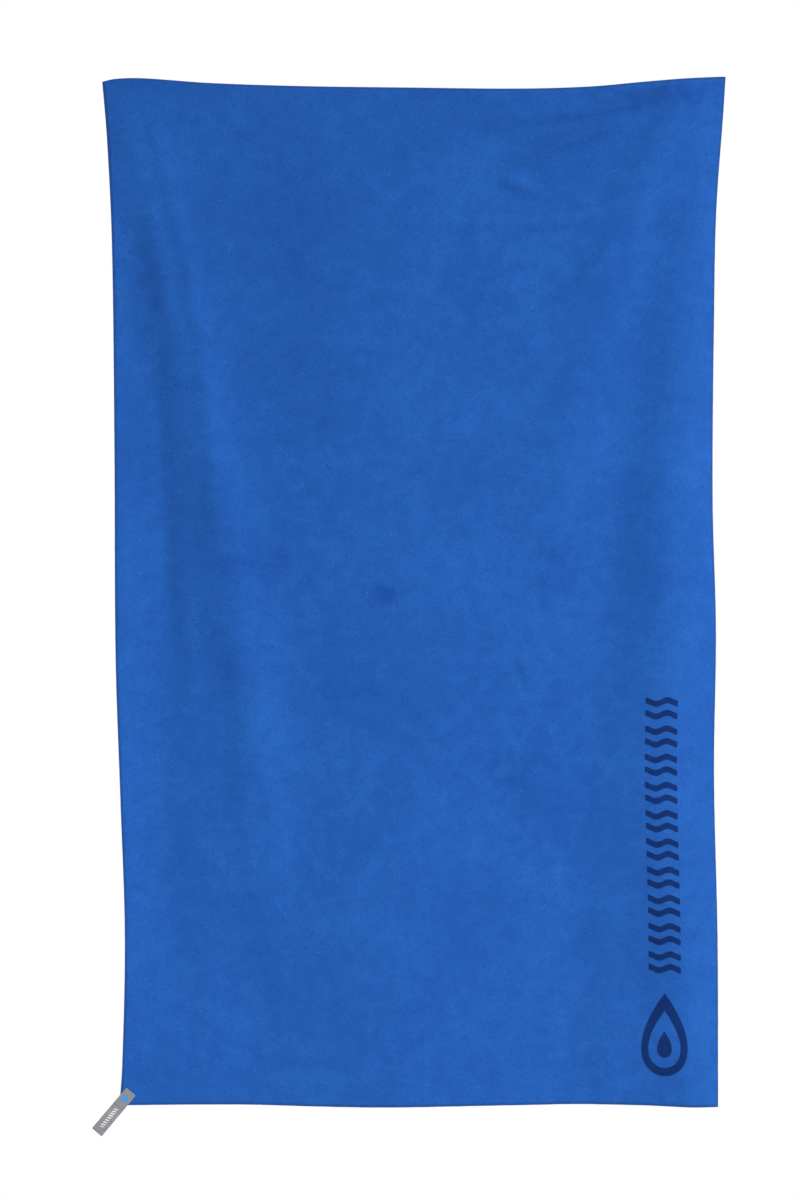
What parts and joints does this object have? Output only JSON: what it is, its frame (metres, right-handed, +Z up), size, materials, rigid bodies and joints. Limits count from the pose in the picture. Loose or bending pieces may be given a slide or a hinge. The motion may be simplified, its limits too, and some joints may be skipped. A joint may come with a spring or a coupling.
{
  "type": "quick dry towel",
  "caption": "Large suede-microfibre travel towel hanging by its top edge, with overlocked edges and a ribbon hanging loop at one bottom corner.",
  "frame": {"origin": "midway between the two places on the top edge where the towel is gripped, on the cloth's middle surface", "axes": "+Z up along the hanging towel, its longest side; +X to the right of somebody facing its front; the front faces -Y, and Y is the thin direction"},
  "size_m": [0.9192, 0.0254, 1.5375],
  "materials": {
    "cloth": "matte brushed suede microfibre",
    "edging_thread": "textured polyester thread",
    "ribbon": "woven polyester ribbon",
    "loop_thread": "polyester sewing thread",
    "label_satin": "white satin tape"
  },
  "bodies": {
    "towel": {"towel_cloth": "cloth", "edging_top": "edging_thread", "edging_bottom": "edging_thread", "edging_left": "edging_thread", "edging_right": "edging_thread", "loop_end_front": "ribbon", "loop_end_back": "ribbon", "loop_stitching": "loop_thread", "care_label_end": "label_satin"},
    "loop": {"hanging_loop": "ribbon"},
    "label": {"care_label": "label_satin"}
  },
  "joints": [
    {"name": "loop_swing", "type": "hinge", "parent": "towel", "child": "loop", "pos_m": [-0.4347, 0, -1.49222], "axis": [0.766, 0, -0.6428], "range_deg": [-150, 150]},
    {"name": "label_flap", "type": "hinge", "parent": "towel", "child": "label", "pos_m": [0.06, 0.00048, -0.02148], "axis": [1, 0, 0], "range_deg": [0, 150]}
  ]
}
